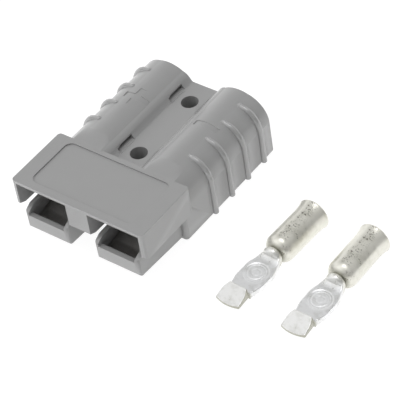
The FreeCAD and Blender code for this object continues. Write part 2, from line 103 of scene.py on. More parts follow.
class Operands(Enum):
    """What a calculation in a material works on, by the node for it."""

    NUMBERS = "Math"
    VECTORS = "VectorMath"


def srgb(red: int, green: int, blue: int) -> Colour:
    """Turn an eight-bit display colour into a linear one.

    Args:
        red: Red from 0 to 255.
        green: Green from 0 to 255.
        blue: Blue from 0 to 255.

    Returns:
        The linear colour.
    """
    def channel(value: int) -> float:
        """Turn one channel into its linear value."""
        share = value / 255
        return share / 12.92 if share <= 0.04045 else ((share + 0.055) / 1.055) ** 2.4

    return channel(red), channel(green), channel(blue)


def scaled(span: Pair, start: float = 0.0) -> Pair:
    """Turn a range of millimetres, counted from a start, into metres."""
    return (start + span[0]) * MM, (start + span[1]) * MM


@dataclass(frozen=True)
class Noise:
    """A noise texture, by its waves in a metre, its finer layers and their strength."""

    scale: float
    detail: float
    roughness: float


class NodeBook:
    """Small helper that adds nodes to the tree of a material or world and links them."""

    def __init__(self, owner: Material | bpy.types.World) -> None:
        """Start an empty tree.

        Args:
            owner: The material or world whose tree is written.
        """
        owner.use_nodes = True
        self.tree = owner.node_tree
        self.tree.nodes.clear()

    def put(self, target: Socket, value: object) -> None:
        """Set an input to a value, or link it to the socket that gives the value.

        Args:
            target: The input.
            value: The value or the socket.
        """
        if isinstance(value, Socket):
            self.tree.links.new(value, target)
        else:
            target.default_value = value

    def add(self, kind: str, **values: object) -> bpy.types.Node:
        """Add a node.

        Args:
            kind: The node's type name without the ShaderNode prefix.
            **values: Node properties, or inputs under in_NAME with underscores for spaces.

        Returns:
            The new node.
        """
        node = self.tree.nodes.new("ShaderNode" + kind)
        for key, value in values.items():
            if key.startswith("in_"):
                self.put(node.inputs[key[3:].replace("_", " ")], value)
            else:
                setattr(node, key, value)
        return node

    def calculate(self, operation: str, *values: object,
                  operands: Operands = Operands.NUMBERS) -> Socket:
        """Add a calculation.

        Args:
            operation: Name of the operation.
            *values: Its inputs in order.
            operands: What it works on.

        Returns:
            The result, a number where the operation gives one.
        """
        node = self.add(operands.value, operation=operation)
        for target, value in zip(node.inputs, values):
            self.put(target, value)
        return next(socket for socket in node.outputs if socket.enabled)

    def noise(self, place: Socket, kind: Noise) -> Socket:
        """Add a noise texture and give its value from 0 to 1."""
        node = self.add("TexNoise", in_Vector=place, in_Scale=kind.scale, in_Detail=kind.detail,
                        in_Roughness=kind.roughness)
        return node.outputs["Fac"]

    def fade(self, value: Socket, span: Pair, result: Pair = (0.0, 1.0),
             easing: Easing = Easing.SMOOTH) -> Socket:
        """Map one range of a value to another and hold the result at its ends.

        Args:
            value: The value.
            span: Where the range begins and ends.
            result: What is given at its beginning and end.
            easing: How it passes between them.

        Returns:
            The mapped value.
        """
        node = self.add("MapRange", interpolation_type=easing.value, in_Value=value,
                        in_From_Min=span[0], in_From_Max=span[1],
                        in_To_Min=result[0], in_To_Max=result[1])
        return node.outputs["Result"]

    def ramp(self, value: Socket, *stops: tuple[float, Colour]) -> Socket:
        """Add a colour ramp.

        Args:
            value: The value that picks the colour.
            *stops: Position and colour of each stop.

        Returns:
            The colour.
        """
        node = self.add("ValToRGB", in_Fac=value)
        elements = node.color_ramp.elements
        while len(elements) < len(stops):
            elements.new(0.5)
        for element, (place, colour) in zip(elements, stops):
            element.position = place
            element.color = (*colour, 1.0)
        return node.outputs["Color"]

    def mix(self, blend: str, share: float | Socket, first: Socket, second: Colour | Socket) -> Socket:
        """Mix two colours.

        Args:
            blend: Blend type.
            share: Share of the second colour, or the socket that gives it.
            first: Socket of the first colour.
            second: The second colour, or its socket.

        Returns:
            The mixed colour.
        """
        node = self.add("Mix", data_type="RGBA", blend_type=blend)
        other = (*second, 1.0) if isinstance(second, tuple) else second
        # A Mix node's sockets for numbers, vectors and colours share their names, so these go by number
        for number, value in ((0, share), (6, first), (7, other)):
            self.put(node.inputs[number], value)
        return node.outputs[2]

    def surface(self, **values: object) -> None:
        """Add the surface with its inputs, given under in_NAME, and the output."""
        shader = self.add("BsdfPrincipled", **values)
        self.add("OutputMaterial", in_Surface=shader.outputs["BSDF"])


@dataclass(frozen=True)
class MouldedPlastic:
    """Fine matte moulded thermoplastic with faint flow mottling and rubbed edges."""

    name: str = "moulded_grey_plastic"
    colour: Colour = srgb(152, 152, 152)
    mottle: float = 0.008
    clouds: Noise = Noise(260.0, 2.0, 0.5)
    roughness_span: Pair = (0.28, 0.30)
    specular: float = 0.5
    grain: Noise = Noise(1 / (0.10 * MM), 2.0, 0.5)
    grain_depth: float = 0.005
    grain_strength: float = 0.25
    edge_radius: float = 0.12
    edge_samples: int = 6

    def material(self) -> Material:
        """Build the material.

        Returns:
            The finished plastic.
        """
        material = bpy.data.materials.new(self.name)
        book = NodeBook(material)
        place = book.add("TexCoord").outputs["Object"]
        cloud = book.noise(place, self.clouds)
        darker = tuple(channel * (1 - self.mottle) for channel in self.colour)
        lighter = tuple(channel * (1 + self.mottle) for channel in self.colour)
        tint = book.ramp(cloud, (NOISE_SPAN[0], darker), (NOISE_SPAN[1], lighter))
        shine = book.fade(cloud, NOISE_SPAN, self.roughness_span, Easing.EVEN)
        grain = book.noise(place, self.grain)
        rounded = book.add("Bevel", samples=self.edge_samples, in_Radius=self.edge_radius * MM)
        bump = book.add("Bump", in_Strength=self.grain_strength, in_Distance=self.grain_depth * MM,
                        in_Height=grain, in_Normal=rounded.outputs["Normal"])
        book.surface(in_Base_Color=tint, in_Roughness=shine, in_Normal=bump.outputs["Normal"],
                     in_Specular_IOR_Level=self.specular)
        return material


@dataclass(frozen=True)
class RolledSteel:
    """Plain rolled spring steel with fine brushing along the strip."""

    name: str = "rolled_spring_steel"
    colour: Colour = (0.33, 0.32, 0.31)
    streak_shade: float = 0.82
    streak_scale: Triple = (6000.0, 250.0, 6000.0)
    streaks: Noise = Noise(1.0, 3.0, 0.6)
    streak_depth: float = 0.01
    streak_strength: float = 0.2
    roughness_span: Pair = (0.30, 0.48)

    def material(self) -> Material:
        """Build the material.

        Returns:
            The finished steel.
        """
        material = bpy.data.materials.new(self.name)
        book = NodeBook(material)
        place = book.add("TexCoord").outputs["Object"]
        stretch = book.add("Mapping", in_Vector=place, in_Scale=self.streak_scale)
        streaks = book.noise(stretch.outputs["Vector"], self.streaks)
        darker = tuple(self.streak_shade * channel for channel in self.colour)
        tint = book.ramp(streaks, (NOISE_SPAN[0], darker), (NOISE_SPAN[1], self.colour))
        shine = book.fade(streaks, (0.0, 1.0), self.roughness_span, Easing.EVEN)
        bump = book.add("Bump", in_Strength=self.streak_strength, in_Distance=self.streak_depth * MM,
                        in_Height=streaks)
        book.surface(in_Metallic=1.0, in_Base_Color=tint, in_Roughness=shine,
                     in_Normal=bump.outputs["Normal"])
        return material


@dataclass(frozen=True)
class SilverPlate:
    """Satin silver plating on copper, speckled with tarnish along the barrel and duller on the tongue,
    with painted shade in its creases and on the pad's upright faces.

    Lengths are in millimetres, in the contact's own frame.
    """

    name: str
    tip: Pair
    turn: float
    axis: float
    nose: float
    ridge: float
    colour: Colour = (0.73, 0.72, 0.655)
    tongue: Colour = (0.82, 0.825, 0.83)
    pad: Colour = (0.76, 0.76, 0.75)
    # Painted shade: the dark colour painted into the crease behind the pad's step, into the crease between
    # neck and nose and onto the pad's upright faces
    painted_shade: Colour = (0.40, 0.395, 0.34)
    tarnish: Colour = (0.10, 0.09, 0.07)
    cloud_shade: Colour = (0.80, 0.80, 0.77)
    cloud_span: Pair = (0.28, 0.52)
    clouds: Noise = Noise(420.0, 5.0, 0.62)
    fine: Noise = Noise(2600.0, 2.0, 0.5)
    fine_share: float = 0.35
    relief_depth: float = 0.05
    relief_strength: float = 0.35
    metallic: float = 0.6
    roughness_span: Pair = (0.26, 0.43)
    ramp_length: float = 40.0
    # Where the painted shade on upright faces fades out, by how far a face looks up and by distance behind
    # the ridge
    upright_span: Pair = (0.45, 0.75)
    pad_fade: float = 1.0
    specks: Noise = Noise(1 / (0.42 * MM), 3.0, 0.65)
    speck_level: Pair = (0.54, 0.66)
    band_shift: float = 0.5
    band_fade: Pair = (0.51, 1.7)
    band_height: Pair = (1.2, 2.6)
    band_start: Pair = (1.6, 3.0)
    patch_place: Triple = (2.6, 0.5, 1.7)
    patch_fade: Pair = (0.8, 1.8)

    def speckles(self, book: NodeBook, local: Socket) -> Socket:
        """Make the mask of dark specks: a band along the barrel's top and a patch on the nose.

        Args:
            book: The material's nodes.
            local: Place in the contact's own frame.

        Returns:
            The mask from 0 to 1.
        """
        x, y, z = book.add("SeparateXYZ", in_Vector=local).outputs
        shifted = book.calculate("SUBTRACT", x, self.band_shift * MM)
        band = book.fade(book.calculate("ABSOLUTE", shifted), scaled(self.band_fade), (1.0, 0.0))
        above = book.fade(z, scaled(self.band_height, self.axis))
        behind = book.fade(y, scaled(self.band_start, self.nose))
        across, along, up = self.patch_place
        middle = (across * MM, (self.nose + along) * MM, (self.axis + up) * MM)
        spot = book.calculate("DISTANCE", local, middle, operands=Operands.VECTORS)
        patch = book.fade(spot, scaled(self.patch_fade), (1.0, 0.0))
        top = book.calculate("MULTIPLY", book.calculate("MULTIPLY", band, above), behind)
        specks = book.fade(book.noise(local, self.specks), self.speck_level)
        return book.calculate("MULTIPLY", specks, book.calculate("MAXIMUM", top, patch))

    def zones(self, book: NodeBook, local: Socket) -> Socket:
        """Make the colour of pad, tongue and barrel along the contact, with painted shade in the creases
        behind the pad's step and before the nose and on the pad's upright faces.

        Args:
            book: The material's nodes.
            local: Place in the contact's own frame.

        Returns:
            The colour.
        """
        y = book.add("SeparateXYZ", in_Vector=local).outputs["Y"]
        # Painted shade: a dark stripe in the crease just behind the pad's step
        at_ridge = ((-0.12, self.pad), (0.12, self.painted_shade), (0.56, self.tongue))
        # Painted shade: a dark ring in the crease where the neck meets the nose
        at_nose = ((-2.0, self.tongue), (-0.32, self.colour), (0.16, self.painted_shade), (0.8, self.colour))
        stops = [(0.0, self.pad), *((self.ridge + step, colour) for step, colour in at_ridge),
                 *((self.nose + step, colour) for step, colour in at_nose)]
        zone = book.ramp(book.fade(y, (0.0, self.ramp_length * MM), easing=Easing.EVEN),
                         *((place / self.ramp_length, colour) for place, colour in stops))
        # Painted shade: the pad's upright faces are darkened, fading out behind the ridge
        facing = book.add("SeparateXYZ", in_Vector=book.add("TexCoord").outputs["Normal"]).outputs["Z"]
        upright = book.fade(facing, self.upright_span, (1.0, 0.0), Easing.EVEN)
        at_pad = book.fade(y, scaled((0.0, self.pad_fade), self.ridge), (1.0, 0.0), Easing.EVEN)
        return book.mix("MIX", book.calculate("MULTIPLY", upright, at_pad), zone, self.painted_shade)

    def material(self) -> Material:
        """Build the material.

        Returns:
            The finished plating.
        """
        material = bpy.data.materials.new(self.name)
        book = NodeBook(material)
        place = book.add("TexCoord").outputs["Object"]
        local = book.add("Mapping", vector_type="TEXTURE", in_Vector=place,
                         in_Location=(self.tip[0] * MM, self.tip[1] * MM, 0.0),
                         in_Rotation=(0.0, 0.0, -math.radians(self.turn))).outputs["Vector"]
        cloud = book.noise(local, self.clouds)
        fine = book.noise(local, self.fine)
        low, high = self.cloud_span
        shade = book.ramp(cloud, (low, self.cloud_shade), (high, (1.0, 1.0, 1.0)))
        tint = book.mix("MULTIPLY", 1.0, self.zones(book, local), shade)
        stained = book.mix("MIX", self.speckles(book, local), tint, self.tarnish)
        shine = book.fade(cloud, NOISE_SPAN, self.roughness_span, Easing.EVEN)
        relief = book.calculate("MULTIPLY_ADD", fine, self.fine_share, cloud)
        bump = book.add("Bump", in_Strength=self.relief_strength, in_Distance=self.relief_depth * MM,
                        in_Height=relief)
        book.surface(in_Metallic=self.metallic, in_Base_Color=stained, in_Roughness=shine,
                     in_Normal=bump.outputs["Normal"])
        return material


def add_object(name: str, data: bpy.types.ID) -> Piece:
    """Put a mesh or a camera into the scene.

    Args:
        name: The object's name.
        data: Its data, in the row frame.

    Returns:
        The new object.
    """
    piece = bpy.data.objects.new(name, data)
    bpy.context.scene.collection.objects.link(piece)
    return piece


def bake_modifiers(piece: Piece) -> None:
    """Apply every modifier of a piece to its mesh.

    Args:
        piece: The object to finish.
    """
    bpy.context.view_layer.update()
    graph = bpy.context.evaluated_depsgraph_get()
    mesh = bpy.data.meshes.new_from_object(piece.evaluated_get(graph))
    piece.modifiers.clear()
    old = piece.data
    piece.data = mesh
    mesh.name = piece.name
    bpy.data.meshes.remove(old)


def shade_by_angle(mesh: Mesh, degrees: float) -> None:
    """Shade a mesh smooth and keep edges sharper than an angle.

    Args:
        mesh: The mesh.
        degrees: The smallest angle that stays sharp.
    """
    for polygon in mesh.polygons:
        polygon.use_smooth = True
    mesh.set_sharp_from_angle(angle=math.radians(degrees))


def merged_copy(node: Piece, name: str) -> Piece:
    """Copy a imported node, join its loose triangles and clear its flat faces of inner edges.

    Args:
        node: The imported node's object.
        name: Name of the copy.

    Returns:
        The copy as a new object.
    """
    mesh = bpy.data.meshes.new(name)
    book = bmesh.new()
    book.from_mesh(node.data)
    bmesh.ops.remove_doubles(book, verts=book.verts, dist=JOIN_DISTANCE * MM)
    bmesh.ops.dissolve_limit(book, angle_limit=math.radians(FLAT_ANGLE), verts=book.verts,
                             edges=book.edges, use_dissolve_boundaries=False)
    book.to_mesh(mesh)
    book.free()
    return add_object(name, mesh)


def circle_points(centre: Pair, radius: float, start: float, end: float, steps: int) -> list[Pair]:
    """Points in chords along an arc, by its centre, radius, and first and last angle in degrees."""
    angles = [math.radians(start + (end - start) * i / steps) for i in range(steps + 1)]
    return [(centre[0] + radius * math.cos(a), centre[1] + radius * math.sin(a)) for a in angles]


def smooth_step(value: float) -> float:
    """Ease from 0 to 1, held at both ends."""
    share = min(max(value, 0.0), 1.0)
    return share * share * (3 - 2 * share)


def smooth_line(points: Sequence[Pair], place: float) -> float:
    """Read a curve through a few points that keeps to the range of its neighbours.

    Args:
        points: Places and values, in rising order of place.
        place: Where to read it.

    Returns:
        The value there, held at both ends.
    """
    runs = [(b[1] - a[1]) / (b[0] - a[0]) for a, b in zip(points, points[1:])]
    inner = [0.0 if a * b <= 0 else 2 * a * b / (a + b) for a, b in zip(runs, runs[1:])]
    slopes = [runs[0], *inner, runs[-1]]
    for (x0, v0), (x1, v1), leaving, coming in zip(points, points[1:], slopes, slopes[1:]):
        if x0 < place <= x1:
            run = x1 - x0
            t = (place - x0) / run
            start = v0 * (1 + 2 * t) * (1 - t) ** 2 + leaving * run * t * (1 - t) ** 2
            return start + v1 * t * t * (3 - 2 * t) - coming * run * t * t * (1 - t)
    return points[0][1] if place <= points[0][0] else points[-1][1]


def revolved(profile: Sequence[Pair], axis_z: float, segments: int, name: str) -> Mesh:
    """Turn a profile about an axis along Y.

    Args:
        profile: Places along Y and radii, its two ends on the axis.
        axis_z: Height of the axis.
        segments: Number of steps around.
        name: Name of the mesh.

    Returns:
        The closed mesh, in millimetres.
    """
    points = [(0.0, profile[0][0], axis_z)]
    for y, radius in profile[1:-1]:
        for i in range(segments):
            turn = math.tau * i / segments
            points.append((radius * math.cos(turn), y, axis_z + radius * math.sin(turn)))
    points.append((0.0, profile[-1][0], axis_z))
    last = len(points) - 1
    rings = len(profile) - 2
    faces = []
    for i in range(segments):
        j = (i + 1) % segments
        faces.append((0, 1 + i, 1 + j))
        for ring in range(rings - 1):
            low = 1 + ring * segments
            faces.append((low + i, low + segments + i, low + segments + j, low + j))
        low = 1 + (rings - 1) * segments
        faces.append((low + j, low + i, last))
    mesh = bpy.data.meshes.new(name)
    mesh.from_pydata(points, [], faces)
    return mesh


def lofted(loops: Sequence[Sequence[Triple]], name: str) -> Mesh:
    """Skin a row of closed loops of equal length and cap both ends.

    Args:
        loops: The loops in order.
        name: Name of the mesh.

    Returns:
        The closed mesh, in millimetres.
    """
    count = len(loops[0])
    points = [point for loop in loops for point in loop]
    faces = []
    for row in range(len(loops) - 1):
        for i in range(count):
            j = (i + 1) % count
            low = row * count
            faces.append((low + i, low + j, low + count + j, low + count + i))
    faces.append(tuple(range(count - 1, -1, -1)))
    faces.append(tuple(range(len(points) - count, len(points))))
    mesh = bpy.data.meshes.new(name)
    mesh.from_pydata(points, [], faces)
    return mesh


def face_outward(mesh: Mesh) -> None:
    """Turn every face of a closed mesh outward.

    Args:
        mesh: The mesh to change.
    """
    book = bmesh.new()
    book.from_mesh(mesh)
    bmesh.ops.recalc_face_normals(book, faces=book.faces)
    book.to_mesh(mesh)
    book.free()


def closed_solid(loops: Sequence[Sequence[Triple]], name: str) -> Piece:
    """Make a solid of its own from a row of closed loops.

    Args:
        loops: The loops in order, in millimetres.
        name: Name of the solid.

    Returns:
        The new object.
    """
    mesh = lofted(loops, name)
    face_outward(mesh)
    mesh.transform(Matrix.Scale(MM, 4))
    return add_object(name, mesh)


def combine(piece: Piece, tool: Piece, joining: Joining) -> None:
    """Join a tool to a piece or cut it away, then remove the tool.

    Args:
        piece: The piece to change.
        tool: The other closed solid.
        joining: What the tool does to the piece.
    """
    change = piece.modifiers.new("combine", "BOOLEAN")
    change.operation = joining.value
    change.solver = "EXACT"
    change.object = tool
    bake_modifiers(piece)
    mesh = tool.data
    bpy.data.objects.remove(tool)
    bpy.data.meshes.remove(mesh)


@dataclass(frozen=True)
class RoundSurface:
    """A round surface along Y, by the place of its axis and its radius in millimetres."""

    axis: Pair
    radius: float
    slack: float = 0.03
    least_facing: float = 0.97

    def normal_at(self, point: Vector) -> Vector:
        """Direction from the axis to a point on the surface."""
        return Vector((point.x - self.axis[0], 0, point.z - self.axis[1])).normalized()

    def holds(self, points: Sequence[Vector], facing: Vector) -> bool:
        """Tell whether a face lies on the surface.

        Args:
            points: The face's corners, in millimetres.
            facing: The face's normal.

        Returns:
            Whether every corner is on the surface and the face looks outward.
        """
        for point in points:
            reach = math.hypot(point.x - self.axis[0], point.z - self.axis[1])
            off_surface = abs(reach - self.radius) > self.slack
            if off_surface or facing.dot(self.normal_at(point)) < self.least_facing:
                return False
        return True


def shade_true_round(mesh: Mesh, surfaces: Sequence[RoundSurface]) -> None:
    """Give the faces on round surfaces their true normals.

    Args:
        mesh: The mesh, in metres.
        surfaces: The round surfaces.
    """
    normals = [Vector(corner.vector) for corner in mesh.corner_normals]
    for polygon in mesh.polygons:
        points = [mesh.vertices[i].co / MM for i in polygon.vertices]
        home = next((s for s in surfaces if s.holds(points, polygon.normal)), None)
        if home:
            for loop, point in zip(polygon.loop_indices, points):
                normals[loop] = home.normal_at(point)
    mesh.normals_split_custom_set(normals)


@dataclass(frozen=True)
class SignSizes:
    """Sizes of the polarity signs sunk into the barrels' tops, in millimetres."""

    barrel_x: float = 10.0
    barrel_radius: float = 7.55
    barrel_top: float = 15.95
    depth: float = 0.16
    plus_centre: Pair = (-9.4, 2.45)
    plus_across: Pair = (6.4, 1.8)
    plus_along: Pair = (1.6, 6.0)
    minus_centre: Pair = (10.35, 2.4)
    minus_across: Pair = (6.3, 1.8)
    draft: float = 0.12
    tool_height: float = 2.0
    widest_share: float = 0.99
    steps: int = 28


@dataclass(frozen=True)
class ChannelSizes:
    """Sizes of the channel between the barrels, its walls and the washer pockets, in millimetres."""

    wall_axis: Pair = (6.55, 12.34)
    wall_radius: float = 2.6
    wall_turn: Pair = (144.0, 100.0)
    wall_foot: float = 3.55
    wall_steps: int = 24
    floor: float = 12.65
    floor_lap: float = 0.01
    floor_gap: float = 0.005
    front: float = -14.8
    rear: float = 15.58
    inner: float = 3.2
    groove_fill: float = 10.0
    groove_side: float = 1.0
    lap: float = 0.2
    pocket_places: tuple[float, ...] = (-9.0, 10.0)
    pocket_length: float = 5.2
    pocket_reach: float = 4.5
    pocket_corner: float = 0.9
    pocket_side: float = 1.0
    pocket_top: float = 17.0
    slot_depth: float = 1.2
    slot_height: float = 0.95


@dataclass
class Housing:
    """The one-piece moulded housing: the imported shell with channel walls, pockets and polarity signs."""

    finish: Material
    signs: SignSizes = field(default_factory=SignSizes)
    channel: ChannelSizes = field(default_factory=ChannelSizes)
    flank_drop: float = 0.25
    shoulder_axis: Pair = (11.197, 9.334)
    shoulder_radius: float = 6.353
    shoulder_turn: float = 80.0
    shoulder_steps: int = 64
    bed_front: float = -9.6
    bed_rear: float = 13.6
    bed_gap: float = 0.012
    bed_height: float = 1.6
    bed_low: float = -1.0
    bed_steps: int = 24
    bottom_round: float = 1.0
    bottom_turn: Pair = (-80.0, -2.0)
    hood_top: float = 14.95
    hood_back: float = -14.75
    dip_length: float = 4.6
    dip_steps: int = 10
    dip_slack: float = 0.0005
    cut_slack: float = 0.0001
    smooth_angle: float = 32.0

    def round_surfaces(self) -> list[RoundSurface]:
        """List the barrels' round surfaces, the signs' floors and the channel's walls.

        Returns:
            The surfaces of both sides.
        """
        s = self.signs
        c = self.channel
        z = s.barrel_top - s.barrel_radius
        rounds = (((s.barrel_x, z), s.barrel_radius),
                  ((s.barrel_x, z), s.barrel_radius - s.depth),
                  ((s.barrel_x, z - self.flank_drop), s.barrel_radius + self.flank_drop),
                  (self.shoulder_axis, self.shoulder_radius),
                  (c.wall_axis, c.wall_radius))
        return [RoundSurface((side.value * axis[0], axis[1]), radius)
                for side in Side for axis, radius in rounds]

    def wall_tool(self, side: Side) -> Piece:
        """Make the rounded wall that stands beside the channel at a barrel's foot.

        Args:
            side: The barrel.

        Returns:
            The closed bar along Y.
        """
        c = self.channel
        round_top = circle_points(c.wall_axis, c.wall_radius, *c.wall_turn, c.wall_steps)
        x, z = round_top[-1]
        groove = c.inner + c.groove_side
        low = c.floor - c.floor_lap
        under = [(x + c.lap, z - c.lap), (x + c.lap, c.floor), (groove, c.floor - 3 * c.lap),
                 (groove, c.groove_fill), (c.inner, c.groove_fill), (c.inner, low)]
        outline = [(c.wall_foot, low), *round_top, *under]
        loops = [[(side.value * px, y, pz) for px, pz in outline] for y in (c.front, c.rear)]
        return closed_solid(loops, "channel_wall")

    def pocket_tool(self, side: Side, place: float) -> Piece:
        """Make the solid that cuts one washer pocket and the slot behind it out of a channel wall.

        Args:
            side: The barrel.
            place: Middle of the pocket along Y.

        Returns:
            The closed tool.
        """
        c = self.channel
        near = place - c.pocket_length / 2
        far = place + c.pocket_length / 2
        low = c.floor + c.floor_gap
        tools = []
        slot_reach = c.pocket_reach + c.slot_depth
        for reach, high in ((c.pocket_reach, c.pocket_top), (slot_reach, low + c.slot_height)):
            outline = [(c.pocket_side, near), (reach - c.pocket_corner, near),
                       (reach, near + c.pocket_corner), (reach, far), (c.pocket_side, far)]
            loops = [[(side.value * x, y, z) for x, y in outline] for z in (low, high)]
            tools.append(closed_solid(loops, "pocket"))
        combine(tools[0], tools[1], Joining.ADD)
        return tools[0]

    def sign_tool(self, centre: Pair, size: Pair, name: str) -> Piece:
        """Make the solid that sinks one rectangle of a sign to an even depth.

        Args:
            centre: Its middle in plan.
            size: Its size across and along the barrel.
            name: Name of the tool.

        Returns:
            The closed tool.
        """
        s = self.signs
        axis_x = math.copysign(s.barrel_x, centre[0])
        axis_z = s.barrel_top - s.barrel_radius
        floor_radius = s.barrel_radius - s.depth
        x0 = centre[0] - size[0] / 2
        near = centre[1] - size[1] / 2
        far = centre[1] + size[1] / 2
        d = s.draft
        loops = []
        for i in range(s.steps + 1):
            x = x0 + size[0] * i / s.steps
            rise = math.sqrt(floor_radius ** 2 - min(abs(x - axis_x), floor_radius * s.widest_share) ** 2)
            z = axis_z + rise
            top = z + s.tool_height
            loops.append([(x, near + d, z), (x, near - d, top), (x, far + d, top), (x, far - d, z)])
        return closed_solid(loops, name)

    def bed_tool(self, side: Side) -> Piece:
        """Make the solid that clears one barrel's outer side for the swept ribs.

        Args:
            side: The barrel.

        Returns:
            The closed tool.
        """
        near = self.shoulder_radius + self.bed_gap
        far = near + self.bed_height
        r = self.bottom_round
        side_x = self.shoulder_axis[0] + self.shoulder_radius
        under = circle_points((side_x - r, r), r + self.bed_gap, *self.bottom_turn, self.bed_steps)
        inner = circle_points(self.shoulder_axis, near, 0, self.shoulder_turn, self.shoulder_steps)
        outer = circle_points(self.shoulder_axis, far, self.shoulder_turn, 0, self.bed_steps)
        outline = [(under[0][0], self.bed_low), *under, *inner, *outer, (outer[-1][0], self.bed_low)]
        loops = [[(side.value * x, y, z) for x, z in outline] for y in (self.bed_front, self.bed_rear)]
        return closed_solid(loops, "rib_bed")

    def dip_to_hood(self, mesh: Mesh) -> None:
        """Let the barrels' tops dip to the hood's top where they meet it.

        Args:
            mesh: The housing's mesh, in metres.
        """
        book = bmesh.new()
        book.from_mesh(mesh)
        top = self.hood_top * MM
        back = self.hood_back * MM
        length = self.dip_length * MM
        for i in range(1, self.dip_steps + 1):
            high = [f for f in book.faces if max(v.co.z for v in f.verts) > top + self.dip_slack * MM]
            parts = {part for f in high for part in (f, *f.edges, *f.verts)}
            place = (0, back + length * i / self.dip_steps, 0)
            bmesh.ops.bisect_plane(book, geom=list(parts), plane_co=place, plane_no=(0, 1, 0),
                                   dist=self.cut_slack * MM)
        for vertex in book.verts:
            if vertex.co.z > top and vertex.co.y < back + length:
                share = smooth_step((vertex.co.y - back) / length)
                vertex.co.z = top + (vertex.co.z - top) * share
        bmesh.ops.dissolve_degenerate(book, dist=JOIN_DISTANCE * MM, edges=book.edges)
        book.to_mesh(mesh)
        book.free()

    def build(self) -> Piece:
        """Build the housing's piece.

        Returns:
            The finished piece.
        """
        s = self.signs
        piece = merged_copy(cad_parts["housing"], "moulded_housing")
        for side in Side:
            combine(piece, self.wall_tool(side), Joining.ADD)
            for place in self.channel.pocket_places:
                combine(piece, self.pocket_tool(side, place), Joining.CUT)
        bars = (("plus_across", s.plus_centre, s.plus_across), ("plus_along", s.plus_centre, s.plus_along),
                ("minus_across", s.minus_centre, s.minus_across))
        for name, centre, size in bars:
            combine(piece, self.sign_tool(centre, size, name), Joining.CUT)
        for side in Side:
            combine(piece, self.bed_tool(side), Joining.CUT)
        self.dip_to_hood(piece.data)
        shade_by_angle(piece.data, self.smooth_angle)
        shade_true_round(piece.data, self.round_surfaces())
        piece.data.materials.clear()
        piece.data.materials.append(self.finish)
        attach(piece, BODY)
        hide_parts("housing")
        return piece


@dataclass(frozen=True)
class RibSizes:
    """Sizes of the grip ribs in millimetres, each a round bar sunk into a barrel's outer side."""

    count: int = 4
    pitch: float = 6.25
    last_to_end: float = 3.85
    radius: float = 0.72
    sink: float = -0.11
    start_sink: float = 0.3
    start_turn: float = 74.0
    rise_turn: float = 50.0
    side_x: float = 17.55
    shoulder_axis: Pair = (11.197, 9.334)
    foot_z: float = 0.15
    foot_height: float = 0.45
    bend_steps: int = 30
    straight_steps: int = 4
    around: int = 40
    ball_rings: int = 16


